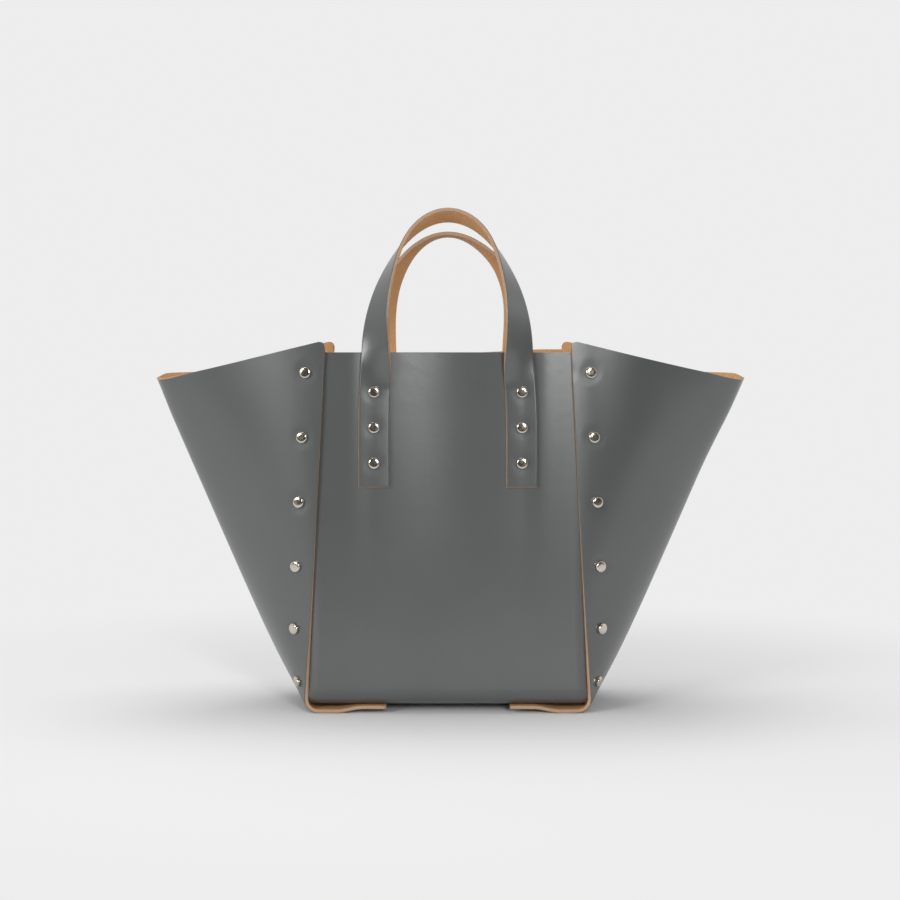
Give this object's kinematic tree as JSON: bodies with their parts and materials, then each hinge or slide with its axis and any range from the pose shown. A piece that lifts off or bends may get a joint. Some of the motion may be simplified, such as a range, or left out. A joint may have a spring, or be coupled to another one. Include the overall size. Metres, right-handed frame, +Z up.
{
  "type": "trapeze tote bag",
  "caption": "Stiff leather tote with flared riveted side panels, an open mouth and two upright strap handles that flex fore and aft.",
  "frame": {"origin": "middle of the bag's footprint, on the floor that it stands on", "axes": "+X to the bag's right seen from the front, +Y from front to back, +Z up"},
  "size_m": [0.4972, 0.1516, 0.4167],
  "materials": {
    "grey_leather": "smooth satin grey coat, raw tan flesh side and cut edges",
    "nickel": "polished nickel plate"
  },
  "bodies": {
    "bag": {"main_panel": "grey_leather", "left_side_panel": "grey_leather", "right_side_panel": "grey_leather", "front_handle_left_tab": "grey_leather", "front_handle_right_tab": "grey_leather", "back_handle_left_tab": "grey_leather", "back_handle_right_tab": "grey_leather", "front_left_seam_caps": "nickel", "front_left_seam_backs": "nickel", "front_right_seam_caps": "nickel", "front_right_seam_backs": "nickel", "back_left_seam_caps": "nickel", "back_left_seam_backs": "nickel", "back_right_seam_caps": "nickel", "back_right_seam_backs": "nickel", "front_handle_left_caps": "nickel", "front_handle_left_backs": "nickel", "front_handle_right_caps": "nickel", "front_handle_right_backs": "nickel", "back_handle_left_caps": "nickel", "back_handle_left_backs": "nickel", "back_handle_right_caps": "nickel", "back_handle_right_backs": "nickel", "left_tab_caps": "nickel", "left_tab_backs": "nickel", "right_tab_caps": "nickel", "right_tab_backs": "nickel"},
    "front_handle": {"front_handle_loop": "grey_leather"},
    "back_handle": {"back_handle_loop": "grey_leather"}
  },
  "joints": [
    {"name": "front_handle_fold", "type": "hinge", "parent": "bag", "child": "front_handle", "pos_m": [0, -0.06673, 0.2995], "axis": [1, 0, 0], "range_deg": [-15, 80], "stiffness_Nm_per_rad": 0.3},
    {"name": "back_handle_fold", "type": "hinge", "parent": "bag", "child": "back_handle", "pos_m": [0, 0.06673, 0.2995], "axis": [-1, 0, 0], "range_deg": [-15, 80], "stiffness_Nm_per_rad": 0.3}
  ]
}
